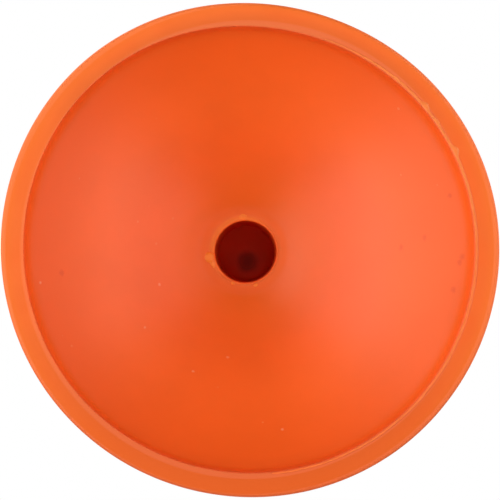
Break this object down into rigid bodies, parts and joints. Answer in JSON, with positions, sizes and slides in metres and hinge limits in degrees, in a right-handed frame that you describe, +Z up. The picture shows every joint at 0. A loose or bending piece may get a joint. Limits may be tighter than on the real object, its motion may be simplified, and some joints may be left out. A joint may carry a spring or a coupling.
{
  "type": "sink plunger",
  "caption": "Small sink plunger: a flared rubber force cup with a flat sealing lip and a neck that grips a turned wooden handle with a hanging hole.",
  "frame": {"origin": "centre of the sealing lip's flat face, where the cup rests on the sink", "axes": "+Z up the cup and handle, +Y along the hanging hole, +X to the side, across the hanging hole"},
  "size_m": [0.1, 0.1, 0.31],
  "materials": {
    "rubber": "satin moulded",
    "beech": "thin clear lacquer"
  },
  "bodies": {
    "cup": {"sealing_lip": "rubber", "bell_wall": "rubber"},
    "crown": {"neck_root": "rubber"},
    "neck": {"neck_socket": "rubber"},
    "handle": {"handle": "beech"}
  },
  "joints": [
    {"name": "cup_squeeze", "type": "slide", "parent": "cup", "child": "crown", "axis": [0, 0, 1], "range_m": [-0.022, 0], "stiffness_N_per_m": 2500, "springref_m": 0.001, "deforming": ["bell_wall"]},
    {"name": "neck_lean", "type": "hinge", "parent": "crown", "child": "neck", "pos_m": [0, 0, 0.046], "axis": [1, 0, 0], "range_deg": [-12, 12], "stiffness_Nm_per_rad": 12, "deforming": ["neck_root"]},
    {"name": "handle_turn", "type": "hinge", "parent": "neck", "child": "handle", "pos_m": [0, 0, 0.087], "axis": [0, 0, 1], "continuous": true}
  ]
}
